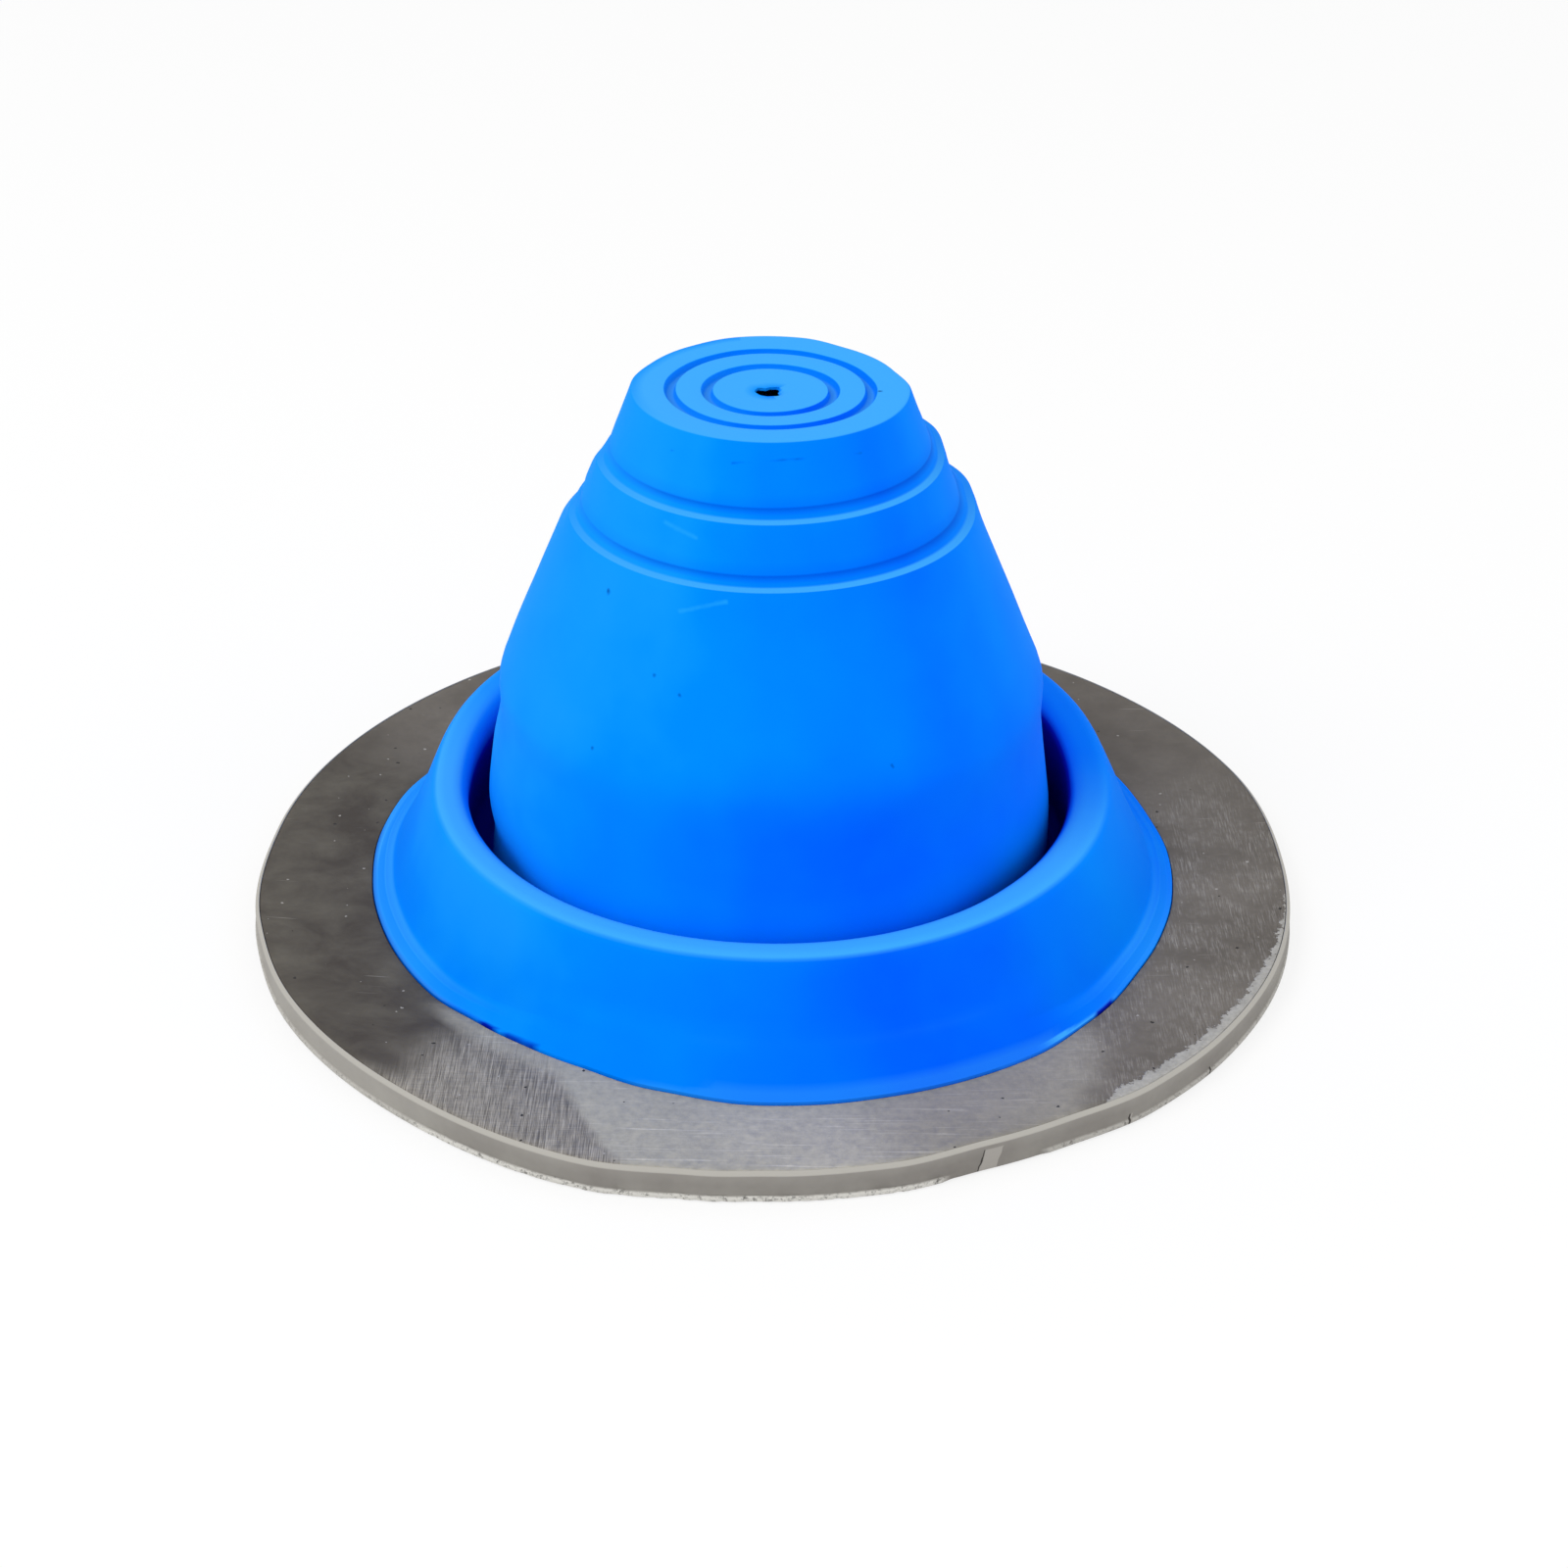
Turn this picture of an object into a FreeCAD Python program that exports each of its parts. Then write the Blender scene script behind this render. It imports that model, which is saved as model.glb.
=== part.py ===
import FreeCAD, Part
import math
import os

os.makedirs("parts", exist_ok=True)

# Pipe flashing boot: a moulded silicone boot held down by a dished aluminium ring on a rubber seal.
# Millimetres. +Z is up, the roof plane is z = 0 and the pipe's axis is the Z axis.

# Boot: cap, tiers and cone, from the top down. Radii are those of the outer face.
boot_height = 101.8          # roof plane to the top of the cap
boot_wall = 2.6              # thickness of the moulded wall
cap_radius = 24.2
cap_edge_rounding = 0.7
tier_heights = [10.5, 8.2]   # each tier steps out to the next pipe size
tier_drafts = [20.4, 18.9]   # degrees from the axis
ledge_width = 2.45           # step between two tiers
ledge_fall = 1.9             # the step slopes outwards, so that it sheds water
ledge_riser_reach = 0.95     # the step starts steep, from a crease, and ends in a flat lip
ledge_riser_fall = 1.5
ledge_cove = 1.3             # hollow rounding between the two
ledge_rounding = 0.35
cone_draft = 22.5            # degrees from the axis
shoulder_height = 46.6       # where the cone turns into the barrel
shoulder_rounding = 12.0
barrel_draft = 7.4           # degrees from the axis
barrel_foot_height = 21.0
barrel_foot_rounding = 20.0

# Boot: the folded collar that lets the cone tilt to the roof's pitch
moat_floor_height = 8.0
moat_width = 4.5             # gap between the cone and the rim
rim_height = 24.5
rim_width = 6.2              # across the crest, before its edges are rounded
rim_rounding = 3.0
skirt_waist_drop = 9.8       # the skirt is hollow here
skirt_waist_reach = 4.5
skirt_waist_rounding = 25.0
skirt_foot_reach = 4.67      # from the waist out to the bead
skirt_flare = 2.0            # hollow rounding where the skirt runs out on the bead
bead_width = 1.5             # flat-topped bead round the foot of the skirt
bead_height = 1.25           # bead above the land
bead_slope = 1.45            # the bead falls to the land over this width
bead_rounding = 0.7
foot_land_width = 0.9        # narrow land between the bead and the ring
foot_land_rise = 0.3         # land above the ring's face
trapped_flange_reach = 11.4  # how far the flange runs out under the ring
trapped_flange_thickness = 1.2

# Boot: cutting guides and the torn pilot hole in the cap
guide_groove_radii = [10.8, 17.3]
guide_groove_width = 2.0
guide_groove_depth = 1.2
pilot_tear_corners = [(-2.0, -0.2), (-0.6, -1.6), (1.2, -1.2), (2.1, 0.3), (1.5, 1.5), (-0.9, 1.2)]

# Ring: soft aluminium, dished a little so that its outer edge stands higher
ring_face_width = 20.6       # from the bore to the edge
ring_thickness = 1.0
ring_inner_height = 4.2      # top face at the bore
ring_dish = 1.3              # rise of the face from bore to edge

# Seal: rubber base with a border round the ring and sealing ribs underneath
seal_border_width = 1.2      # rubber outside the ring's edge
seal_inner_overlap = 2.6     # rubber inside the ring's bore
seal_height = 5.7
seal_bevel = 1.1
seal_foot_rounding = 0.5
seal_groove_count = 4
seal_groove_width = 2.2
seal_groove_pitch = 4.2
seal_groove_depth = 0.9
seal_inner_land = 2.5        # flat ring of rubber inside the first groove

# Clearances
foot_to_ring_gap = 0.2
ring_to_border_gap = 0.1
trapped_flange_gap = 0.3
sharpest_inner_corner = 0.3
cutter_overrun = 1.0
shortest_edge = 1e-6         # anything shorter is no edge


def tangent(degrees):
    return math.tan(math.radians(degrees))


# Radii and heights that follow, from the cap outwards
cone_top_height = boot_height - sum(tier_heights) - ledge_fall * len(tier_heights)
cone_top_radius = cap_radius + ledge_width * len(tier_heights)
for tier_height, tier_draft in zip(tier_heights, tier_drafts):
    cone_top_radius += tier_height * tangent(tier_draft)
shoulder_radius = cone_top_radius + (cone_top_height - shoulder_height) * tangent(cone_draft)
barrel_radius = shoulder_radius + (shoulder_height - barrel_foot_height) * tangent(barrel_draft)
rim_inner_radius = barrel_radius + moat_width
waist_radius = rim_inner_radius + rim_width + skirt_waist_reach
bead_inner_radius = waist_radius + skirt_foot_reach
land_radius = bead_inner_radius + bead_width + bead_slope + foot_land_width
land_height = ring_inner_height + foot_land_rise
ring_bore_radius = land_radius + foot_to_ring_gap
ring_radius = ring_bore_radius + ring_face_width
trapped_flange_radius = ring_bore_radius + trapped_flange_reach
seal_radius = ring_radius + ring_to_border_gap + seal_border_width
seal_bore_radius = ring_bore_radius - seal_inner_overlap


def point(corner):
    """A (radius, height, rounding) corner as a vector in the XZ half plane."""
    return FreeCAD.Vector(corner[0], 0, corner[1])


def half_angles_and_reaches(corners):
    """For each corner of a closed loop: half its angle, and how far its rounding reaches along both sides."""
    half_angles = []
    reaches = []
    for i, corner in enumerate(corners):
        here = point(corner)
        to_before = point(corners[i - 1]) - here
        to_after = point(corners[(i + 1) % len(corners)]) - here
        half_angle = to_before.getAngle(to_after) / 2
        half_angles.append(half_angle)
        reaches.append(corner[2] / math.tan(half_angle))
    return half_angles, reaches


def rounded_section(corners):
    """Face in the XZ half plane, each (radius, height, rounding) corner rounded as far as its sides allow."""
    half_angles, reaches = half_angles_and_reaches(corners)
    count = len(corners)
    fits = []
    for i in range(count):
        length = (point(corners[(i + 1) % count]) - point(corners[i])).Length
        wanted = reaches[i] + reaches[(i + 1) % count]
        fits.append(1.0 if wanted < length else length / wanted)
    starts = []
    ends = []
    edges = []
    for i, corner in enumerate(corners):
        here = point(corner)
        to_before = (point(corners[i - 1]) - here).normalize()
        to_after = (point(corners[(i + 1) % count]) - here).normalize()
        reach = reaches[i] * min(fits[i - 1], fits[i])
        starts.append(here + to_before * reach)
        ends.append(here + to_after * reach)
        if reach > 0:
            rounding = reach * math.tan(half_angles[i])
            inward = (to_before + to_after).normalize()
            middle = here + inward * (rounding / math.sin(half_angles[i]) - rounding)
            edges.append(Part.Arc(starts[i], middle, ends[i]).toShape())
    for i in range(count):
        start = ends[i]
        end = starts[(i + 1) % count]
        if (end - start).Length > shortest_edge:
            edges.append(Part.makeLine(start, end))
    return Part.Face(Part.Wire(Part.__sortEdges__(edges)))


def turned(corners):
    """Solid of revolution about the pipe's axis."""
    axis = FreeCAD.Vector(0, 0, 1)
    return rounded_section(corners).revolve(FreeCAD.Vector(0, 0, 0), axis, 360)


def inside_of(corners, wall):
    """The open path of corners moved to its right by the wall's thickness, roundings included."""
    moved = []
    for i in range(1, len(corners) - 1):
        before = (point(corners[i]) - point(corners[i - 1])).normalize()
        after = (point(corners[i + 1]) - point(corners[i])).normalize()
        normal_before = FreeCAD.Vector(before.z, 0, -before.x)
        normal_after = FreeCAD.Vector(after.z, 0, -after.x)
        mitre = normal_before + normal_after
        mitre = mitre * (2 * wall / mitre.dot(mitre))
        place = point(corners[i]) + mitre
        turns_right = before.z * after.x - before.x * after.z > 0
        change = -wall if turns_right else wall
        moved.append((place.x, place.z, max(corners[i][2] + change, sharpest_inner_corner)))
    return moved


def dish_slope():
    return ring_dish / (ring_radius - ring_bore_radius)


def ring_under(radius):
    """Height of the dished ring's underside, on which the parts below it are shaped."""
    return ring_inner_height - ring_thickness + (radius - ring_bore_radius) * dish_slope()


def flange_under(radius):
    return ring_under(radius) - trapped_flange_thickness


def boot_outer_path():
    """Corners of the boot's outer face from the axis down to the bead round the foot of the skirt."""
    path = [(0, boot_height, 0), (cap_radius, boot_height, cap_edge_rounding)]
    radius = cap_radius
    height = boot_height
    for tier_height, tier_draft in zip(tier_heights, tier_drafts):
        radius += tier_height * tangent(tier_draft)
        height -= tier_height
        path.append((radius, height, 0))
        path.append((radius + ledge_riser_reach, height - ledge_riser_fall, ledge_cove))
        radius += ledge_width
        height -= ledge_fall
        path.append((radius, height, ledge_rounding))
    path.append((shoulder_radius, shoulder_height, shoulder_rounding))
    path.append((barrel_radius, barrel_foot_height, barrel_foot_rounding))
    path.append((barrel_radius, moat_floor_height, moat_width / 2))
    path.append((rim_inner_radius, moat_floor_height, moat_width / 2))
    path.append((rim_inner_radius, rim_height, rim_rounding))
    path.append((rim_inner_radius + rim_width, rim_height, rim_rounding))
    path.append((waist_radius, rim_height - skirt_waist_drop, skirt_waist_rounding))
    path.append((bead_inner_radius, land_height + bead_height, skirt_flare))
    return path


def boot_foot():
    """Corners of the bead, the land beside the ring and the flange trapped under it."""
    bead_outer_radius = bead_inner_radius + bead_width
    return [
        (bead_outer_radius, land_height + bead_height, bead_rounding),
        (bead_outer_radius + bead_slope, land_height, sharpest_inner_corner),
        (land_radius, land_height, 0),
        (land_radius, ring_under(land_radius), 0),
        (trapped_flange_radius, ring_under(trapped_flange_radius), 0),
        (trapped_flange_radius, flange_under(trapped_flange_radius), 0),
    ]


def skirt_mouth(outer, inner):
    """Where the skirt's inner face meets the underside of the trapped flange."""
    upper = point(inner[-1])
    along = point(outer[-1]) - point(outer[-2])
    drop = upper.z - flange_under(upper.x)
    radius = upper.x + along.x * drop / (dish_slope() * along.x - along.z)
    return (radius, flange_under(radius), 0)


def rubber_boot():
    outer = boot_outer_path()
    inner = inside_of(outer, boot_wall)
    mouth = skirt_mouth(outer, inner)
    top_of_hollow = (0, boot_height - boot_wall, 0)
    boot = turned(outer + boot_foot() + [mouth] + inner[::-1] + [top_of_hollow])
    for radius in guide_groove_radii:
        boot = boot.cut(guide_groove(radius))
    return boot.cut(pilot_tear())


def guide_groove(radius):
    """Round-bottomed cutting guide round the cap."""
    half_width = guide_groove_width / 2
    floor = boot_height - guide_groove_depth
    top = boot_height + cutter_overrun
    corners = [
        (radius - half_width, top, 0),
        (radius + half_width, top, 0),
        (radius + half_width, floor, half_width),
        (radius - half_width, floor, half_width),
    ]
    return turned(corners)


def pilot_tear():
    """Ragged tear through the middle of the cap."""
    bottom = boot_height - boot_wall - cutter_overrun
    corners = [FreeCAD.Vector(x, y, bottom) for x, y in pilot_tear_corners]
    face = Part.Face(Part.makePolygon(corners + corners[:1]))
    return face.extrude(FreeCAD.Vector(0, 0, boot_wall + 2 * cutter_overrun))


def flange_ring():
    corners = [
        (ring_bore_radius, ring_under(ring_bore_radius), 0),
        (ring_radius, ring_under(ring_radius), 0),
        (ring_radius, ring_under(ring_radius) + ring_thickness, 0),
        (ring_bore_radius, ring_inner_height, 0),
    ]
    return turned(corners)


def base_seal():
    shelf_radius = trapped_flange_radius + trapped_flange_gap
    border_inner_radius = ring_radius + ring_to_border_gap
    corners = [
        (seal_bore_radius, 0, 0),
        (seal_radius, 0, seal_foot_rounding),
        (seal_radius, seal_height - seal_bevel, seal_foot_rounding),
        (border_inner_radius, seal_height, 0),
        (border_inner_radius, ring_under(border_inner_radius), 0),
        (shelf_radius, ring_under(shelf_radius), 0),
        (shelf_radius, flange_under(shelf_radius), 0),
        (seal_bore_radius, flange_under(seal_bore_radius), 0),
    ]
    seal = turned(corners)
    for i in range(seal_groove_count):
        seal = seal.cut(seal_groove(seal_bore_radius + seal_inner_land + i * seal_groove_pitch))
    return seal


def seal_groove(inner_radius):
    """Groove in the underside: the rubber left between two of them is a sealing rib."""
    rounding = seal_groove_depth / 2
    outer_radius = inner_radius + seal_groove_width
    corners = [
        (inner_radius, -cutter_overrun, 0),
        (outer_radius, -cutter_overrun, 0),
        (outer_radius, seal_groove_depth, rounding),
        (inner_radius, seal_groove_depth, rounding),
    ]
    return turned(corners)


for name, shape in {
    "rubber_boot": rubber_boot(),
    "flange_ring": flange_ring(),
    "base_seal": base_seal(),
}.items():
    shape.exportStep(f"parts/{name}.step")
    print(name, shape.isValid(), len(shape.Solids), round(shape.Volume), shape.BoundBox)
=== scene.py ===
import math

import bmesh
import bpy
from mathutils import Matrix, Vector, noise


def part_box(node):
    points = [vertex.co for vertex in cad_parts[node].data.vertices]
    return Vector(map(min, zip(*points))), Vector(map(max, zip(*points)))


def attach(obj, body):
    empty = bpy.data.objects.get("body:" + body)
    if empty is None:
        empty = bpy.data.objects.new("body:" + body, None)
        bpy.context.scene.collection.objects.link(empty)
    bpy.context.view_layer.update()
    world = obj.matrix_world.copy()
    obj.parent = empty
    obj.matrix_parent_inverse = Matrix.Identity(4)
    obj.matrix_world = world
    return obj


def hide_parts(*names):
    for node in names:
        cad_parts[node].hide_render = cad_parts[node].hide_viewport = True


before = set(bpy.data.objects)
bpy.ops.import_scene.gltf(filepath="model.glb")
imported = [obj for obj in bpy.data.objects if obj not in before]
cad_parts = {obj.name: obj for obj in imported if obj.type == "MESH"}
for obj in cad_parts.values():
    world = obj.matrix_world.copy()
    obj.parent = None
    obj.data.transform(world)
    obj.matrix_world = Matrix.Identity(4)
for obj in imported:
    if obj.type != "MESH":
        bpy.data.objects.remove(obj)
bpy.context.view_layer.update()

# A pipe flashing boot: moulded blue silicone boot, soft aluminium ring, grey rubber seal.
# Sections are drawn in millimetres in the XZ half plane and turned about the pipe's axis.
# Bearings are degrees round that axis, 0 on +X and -90 at the front.
MM = 0.001

BOOT_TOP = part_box("rubber_boot")[1].z / MM
FLANGE_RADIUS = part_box("rubber_boot")[1].x / MM
RING_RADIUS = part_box("flange_ring")[1].x / MM
RING_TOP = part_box("flange_ring")[1].z / MM
SEAL_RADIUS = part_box("base_seal")[1].x / MM
SEAL_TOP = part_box("base_seal")[1].z / MM

# Ring
RING_BORE = RING_RADIUS - 20.6
RING_THICKNESS = 1.0
RING_DISH = 1.3
CLEAR_OF_RING = 0.12                     # flange and seal keep this far under the trimmed ring

# Boot
WALL = 2.6
CAP_RADIUS = 24.2
CAP_UNDERSIDE = BOOT_TOP - WALL
TIERS = [(10.5, 20.4), (8.2, 18.9)]      # height, draft in degrees
LEDGE_WIDTH = 2.45
LEDGE_FALL = 1.9
RISER_REACH = 0.12                       # short riser over each ledge's crease
RISER_HEIGHT = 0.35
COVE_REACH = 0.95                        # hollow between the crease and the ledge's lip
COVE_FALL = 1.5
CONE_DRAFT = 22.5
SHOULDER_HEIGHT = 46.6
BARREL_DRAFT = 7.4
BARREL_FOOT = 21.0
MOAT_FLOOR = 8.0
MOAT_WIDTH = 4.5
RIM_HEIGHT = 24.5
RIM_WIDTH = 6.2
WAIST_DROP = 9.8
WAIST_REACH = 4.5
FOOT_REACH = 4.67
BEAD_WIDTH = 1.5
BEAD_TOP = 5.75
BEAD_SLOPE = 1.45                        # the bead falls to the land over this width
LAND_WIDTH = 0.9
LAND_HEIGHT = 4.5
FLANGE_THICKNESS = 1.2
GROOVE_RADII = [10.8, 17.3]
GROOVE_WIDTH = 2.0
GROOVE_DEPTH = 1.2
GROOVE_SHADE_DEPTH = 0.3                 # a groove is dark from this far below the cap's face
GROOVES_WITHIN = 20
LEAST_ROUNDING = 0.3                     # on the inner skin

# Tear in the cap
TEAR_ROOM = 3.0                          # plain round hole, before it is torn to shape
TEAR_REACH = 6.5                         # the tear pulls the cap's face about this far out
TEAR_LIP = 0.5                           # the cap is thin where it tore
TEAR_TURN_IN = 1.1                       # the edge closes in on the right with depth
TEAR_RAGGEDNESS = 0.10
TEAR_CORNERS = [(2.3, -0.2), (1.95, 1.0), (1.3, 2.1), (-0.5, 1.5), (-1.9, 1.6), (-2.4, 0.1),
                (-1.95, -0.8), (-1.0, -1.8), (0.5, -1.95), (1.8, -1.5)]
CAP_SAG = 1.1                            # the cap's face hangs in the middle
CAP_MARGIN = 1                           # points this far below the cap still count as its own
SAG_MARGIN = 2

# The soft boot stands a little crooked
CONE_LEAN = -1.75
TOP_LEAN = -0.25                         # further lean of the tiers and cap
TOP_LEAN_HEIGHTS = (45, 55)
RIM_LEAN = -0.8
RIM_RISE = 3.3                           # the folded rim rides up behind the cone
RIM_BACK = 0.8                           # and goes back by this share of its rise
RIM_RISE_EASE = 28                       # it comes on over this depth behind the axis
RIM_HEIGHTS = (5, 22)                    # and between these heights
MOAT_PINCH = 1.3                         # the moat is closer on the cone's right
SURFACE_LUMPS = (0.10, 22)               # height and size
# Radii over which a shift of one stretch of the boot fades into the next
CAP_TO_TIER = (16, 22)
CONE_TO_MOAT = (52.9, 57)
MOAT_TO_RIM = (53.5, 56.5)
RIM_TO_WAIST = (58.5, 62.5)
RIM_TO_FOOT = (62.5, 74)
SKIRT_TO_FOOT = (66, 74)
FOOT_TO_BEAD = (72.5, 74)
BORE_TO_RING = (RING_BORE, RING_BORE + 6)
UNDER_RING = (RING_BORE + 0.5, RING_BORE + 2)
# Fullness of the cone on its right and left sides, by height
RIGHT_FULLNESS = [(14, 0.8), (24, 0.5), (38, 0.45), (47, 1.4), (60, 1.55), (79, 1.4), (82, 0.7),
                  (102, 0.6)]
LEFT_FULLNESS = [(8, 0), (22, -0.8), (40, -0.8), (47, 0), (102, 0)]
# Swellings and dents: bearing, half width, height, reach up and down, millimetres outwards
SWELLINGS = [(42, 17, 79, 5, 1.2), (42, 17, 89, 4, 1.1), (152, 18, 88.4, 3.5, -1.4),
             (152, 18, 78.6, 3.5, -1.2), (38, 16, BOOT_TOP, 7, -1.1),
             (140, 12, BOOT_TOP, 6, -0.6), (-165, 10, 10, 13, -0.9), (-165, 20, 28, 12, 0.6),
             (-98, 34, 12, 18, 1.7)]
SWELLING_FADE = 22                       # degrees beyond the half width
# The flared foot is lifted to a straight line in front: where the line starts and ends, and
# which points of the plain foot are lifted
STRAIGHT_START = (67.2, 15.2)
STRAIGHT_LOWEST = LAND_HEIGHT - 0.2
STRAIGHT_RADII = (68, 71)
STRAIGHT_FRONT = (-88, 26, 24)           # bearing, half width, fade
LIFTED_RADIUS = 67
LIFTED_HEIGHTS = (LAND_HEIGHT - 0.4, 15)
# How far the foot and the ring's bore run off the true circle, by bearing
FOOT_RUN = [(-172, 0.2), (-160, 0), (-143, 0), (-132, -1.2), (-125, -1.5), (-117, -1.4),
            (-105, 0), (-92, 1.36), (-84, 1.36), (-75, 1.1), (-54, 1.1), (-42, 0), (-28, -1.0),
            (-20, -0.85), (-9, -0.55), (4, -0.4), (13, -0.7), (30, 0.2), (50, 0), (150, 0),
            (163, 1.0), (172, 0.8)]

# Painted light and shade in the blue, 0 pale where lit to 1 deep where shaded, by bearing: high
# on the cone, on the barrel, on the skirt
UPPER_PAINTED_SHADING = [(-180, 0.07), (-140, 0.09), (-120, 0.19), (-100, 0.33), (-90, 0.43), (-65, 0.5),
              (-48, 0.65), (-35, 0.57), (-20, 0.41), (0, 0.31), (90, 0.2)]
BARREL_PAINTED_SHADING = [(-160, 0.2), (-135, 0.24), (-120, 0.37), (-100, 0.62), (-90, 0.74),
               (-65, 0.92), (-50, 0.81), (-35, 0.67), (0, 0.7), (90, 0.4)]
SKIRT_PAINTED_SHADING = [(-175, 0.15), (-160, 0.17), (-148, 0.08), (-136, 0.08), (-118, 0.34),
              (-105, 0.43), (-90, 0.61), (-70, 0.88), (-55, 0.84), (-40, 0.56), (-25, 0.33),
              (0, 0.45), (30, 0.5), (90, 0.3)]
# Marks on the boot, from and to, with half width: dark hairlines, pale scuffs, and specks
HAIRLINES = [((-7.8, -24.8, 98.2), (2, -25.1, 99.1), 0.3),
             ((2, -25.1, 99.1), (13.9, -20.2, 98.3), 0.3),
             ((-18.2, -19.7, 98.1), (-9, -23.6, 99.6), 0.2),
             ((-5, -35.2, 79.9), (9, -34.6, 79.8), 0.2)]
SCUFFS = [((-19.1, -26.1, 87.7), (-13.8, -29.3, 86.4), 0.5),
          ((-16.4, -34.6, 75.2), (-8.6, -35.8, 77.7), 0.5),
          ((-22, -22.5, 84.9), (-15, -28.2, 84.6), 0.4)]
SPECKS = [((-20.7, -37.4, 64.4), 0.45), ((-16.3, -40.3, 62.2), 0.4),
          ((-31.5, -37.5, 50.1), 0.45), ((-29, -26.3, 74.7), 0.55), ((17.4, -0.9, 101.6), 0.5),
          ((19.9, -42.7, 50.3), 0.4), ((-42.4, -33.6, 38.5), 0.35),
          ((11.2, -50.6, 33.4), 0.35)]
SPECK_LENGTH = Vector((0.2, 0, -0.3))
MOAT_MIDDLE = 55.5                       # radius that parts the cone's side from the rim's
LEDGES_FROM = 60                         # the tiers and cap are above this height
# Dark marks where the boot meets the ring: bearing, half width, fade, strength
BORE_DASHES = [(-131.5, 0.9, 0.8, 0.5), (-127.5, 0.9, 0.8, 0.5), (-124, 0.9, 0.8, 0.5)]
BORE_SHADES = [(-160, 24, 8, 0.3), (-39.5, 1.5, 1, 0.7)]

# Seal
SEAL_BORE = RING_BORE - 2.6
BORDER_INNER = RING_RADIUS + 0.1
BORDER_BEVEL = 0.75
SHELF_RADIUS = FLANGE_RADIUS + 0.3
FLASH_HEIGHT = 1.1
FLASH_REACH = 0.45                       # squeezed-out lip at the seal's bottom edge
FLASH_RADIUS = SEAL_RADIUS - 0.1
GROOVE_COUNT = 4                         # in the seal's underside
FIRST_RIB_WIDTH = 2.5
RIB_GROOVE_WIDTH = 2.2
RIB_GROOVE_PITCH = 4.2
RIB_GROOVE_DEPTH = 0.9
# Rubber squeezed over the ring's edge: width by bearing
SPILL = [(-180, 0), (-54, 0), (-52, 2.6), (-40, 2.4), (-28, 1.9), (-15, 0.9), (-6, 0)]
NO_SPILL = -3                            # well inside the edge, out of reach of the torn margin
# Splits in the seal's side: bearing, height, half width, width of the peeled patch beside them
CRACKS = [(-69.0, 4.0, 0.13, 3.4), (-51.5, 1.7, 0.2, 0.5), (-39, 1.1, 0.2, 0.4)]
# The flange was trimmed by hand: how far its edge runs off the true circle, by bearing
FLANGE_TRIM = [(-165, 0.6), (-150, 1.3), (-132, 1.1), (-108, 2.2), (-97, 0.6), (-90, -0.1),
               (-78, -0.6), (-68, -2.0), (-60, -1.9), (-48, -0.5), (-36, -0.2), (-20, 0.1),
               (0, -0.3), (20, 0.9), (45, 0.5), (90, -0.2), (140, -1.4), (175, -0.8)]

# The brushed patch and the painted reflection in front meet on a straight edge: a point on it,
# its normal
REFLECTION_EDGE = (-41.1, -63.1)
REFLECTION_EDGE_NORMAL = (0.874, 0.486)
REFLECTION_BACK = -30                         # no painted reflection behind this

# Fineness: longest edge of a section, and steps round the axis
BOOT_SPACING, BOOT_STEPS = 2.2, 256
RING_SPACING, RING_STEPS = 1.4, 288
SEAL_SPACING, SEAL_STEPS = 2.5, 720
FACET_TURNS = [(1.2, 9), (0.45, 15), (0, 30)]   # degrees a facet turns, by least rounding
MOST_OF_EDGE = 0.999                     # the roundings at its two ends may take this much
CREASE = 38                              # degrees, sharper edges are shaded hard
TINY = 1e-9
WELD = 1e-4

FLOOR_GAP = 0.0003                       # metres, like the other sizes of the setting
FLOOR_SIZE = 4

SILICONE_SHEEN = "#0A82FF"
SILICONE_PAINTED_LIT, SILICONE_PAINTED_SHADED = "#0094FF", "#005AFF"
SILICONE_PAINTED_BRIGHTEST, SILICONE_HIGHLIGHT = "#1092FC", "#3CA6F8"
FOLD_SHADE_BLUE, FOLD_SHADE_DARK = "#0020B4", "#040C84"
HAIRLINE_BLUE, SCUFF_BLUE, SPECK_BLUE = "#0068DC", "#1C9AFF", "#003C8C"
STAIN_DARK, STAIN_LIGHT = "#544E47", "#716B63"
TARNISH_DARK, TARNISH_LIGHT = "#362F29", "#5A554B"
BRUSH_DARK, BRUSH_LIGHT = "#625D56", "#ACA69C"
REFLECTION_DARK, REFLECTION_LIGHT, WISP_PALE = "#A29E92", "#AEAA9E", "#CDC9BE"
SCOUR_PALE, CUT_PALE, CHIP_PALE, PIT_DARK = "#A29E98", "#A8A49C", "#A09C96", "#24211F"
SPILL_DARK, SPILL_LIGHT = "#7E7C76", "#C4C2BC"
RUBBER_DARK, RUBBER_LIGHT, RUBBER_PAINTED_LIGHT = "#7E7A75", "#8F8C86", "#AEABA4"
CRUMB_DARK, CRUMB_LIGHT = "#2E2C2A", "#CECCC6"
PEELED_GREY, SPLIT_DARK = "#A09C96", "#34312E"
FLOOR_WHITE = "#F8F8F8"


def tangent(degrees):
    return math.tan(math.radians(degrees))


def smooth(value, low, high):
    """0 below low, 1 above high, eased between them."""
    t = min(max((value - low) / (high - low), 0), 1)
    return t * t * (3 - 2 * t)


def bearing(x, y):
    return math.degrees(math.atan2(y, x))


def near_bearing(angle, centre, half_width, fade):
    """1 within half_width of a bearing, falling to 0 over fade."""
    away = abs((angle - centre + 180) % 360 - 180)
    return 1 - smooth(away, half_width, half_width + fade)


def outwards(x, y, angle, amount):
    """The point moved along a bearing."""
    way = math.radians(angle)
    return x + amount * math.cos(way), y + amount * math.sin(way)


def ragged(x, y, z, size):
    """Noise from -1 to 1 with lumps of about that size in millimetres."""
    return noise.fractal(Vector((x, y, z)) / size, 1.0, 2.0, 3)


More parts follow.
